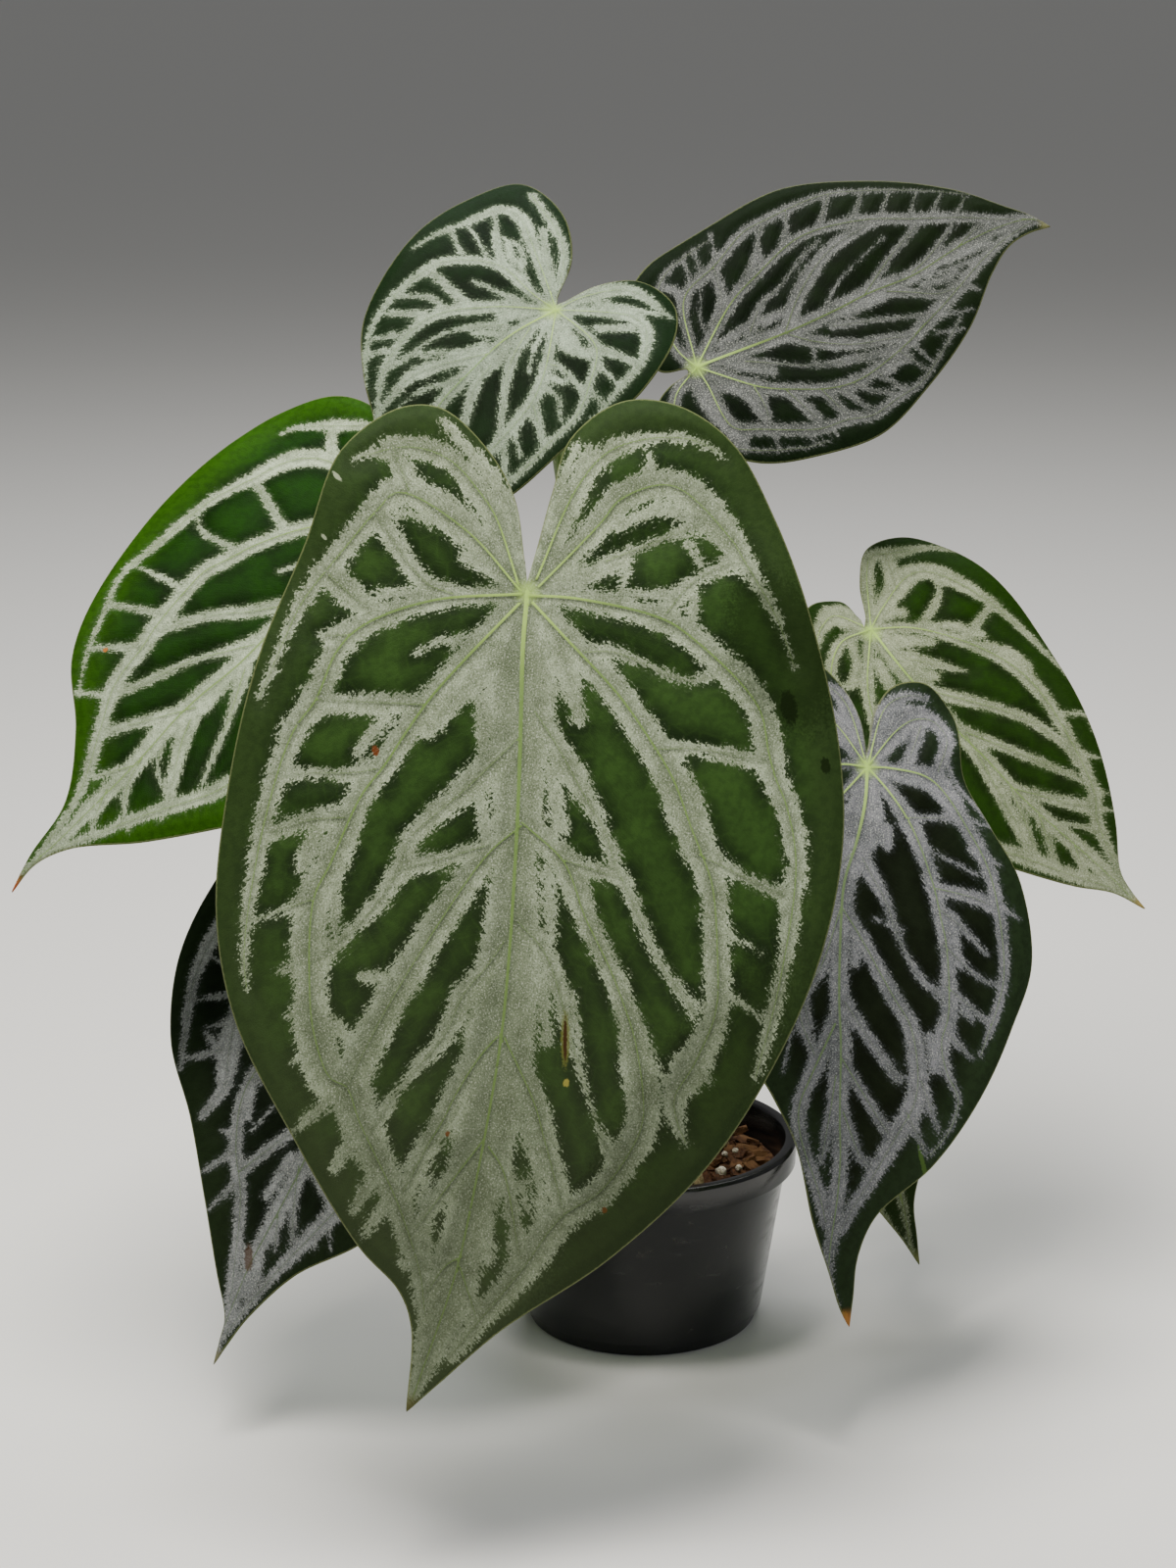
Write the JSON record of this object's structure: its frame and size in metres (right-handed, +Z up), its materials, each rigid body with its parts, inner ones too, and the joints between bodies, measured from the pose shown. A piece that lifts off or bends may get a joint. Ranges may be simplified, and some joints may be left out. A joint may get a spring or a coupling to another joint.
{
  "type": "potted silver blush anthurium",
  "caption": "Potted aroid house plant: broad heart-shaped leaves with silver veins on arching stalks, rising from a short stem in a plain plastic nursery pot of bark mix.",
  "frame": {"origin": "centre of the pot's underside, on the surface it stands on", "axes": "+Z up, -Y towards the front, where the largest leaf faces, +X to the right seen from the front"},
  "size_m": [0.364, 0.3144, 0.3769],
  "materials": {
    "pot_plastic": "satin black moulded plastic",
    "potting_mix": "rough bark and perlite mix",
    "stem": "rough, ringed with leaf scars",
    "papery_sheath": "dry, papery and fibrous",
    "leaf_stalk": "smooth satin green",
    "leaf_blade": "velvety green with broad silver veins, paler underneath"
  },
  "bodies": {
    "root": {"pot": "pot_plastic", "potting_mix": "potting_mix", "stem": "stem", "sheaths": "papery_sheath", "stalk_front": "leaf_stalk", "stalk_top_left": "leaf_stalk", "stalk_top_right": "leaf_stalk", "stalk_left": "leaf_stalk", "stalk_low_left": "leaf_stalk", "stalk_right": "leaf_stalk", "stalk_low_right": "leaf_stalk", "stalk_low_back": "leaf_stalk", "leaf_front": "leaf_blade", "leaf_top_left": "leaf_blade", "leaf_top_right": "leaf_blade", "leaf_left": "leaf_blade", "leaf_low_left": "leaf_blade", "leaf_right": "leaf_blade", "leaf_low_right": "leaf_blade", "leaf_low_back": "leaf_blade"}
  },
  "joints": []
}
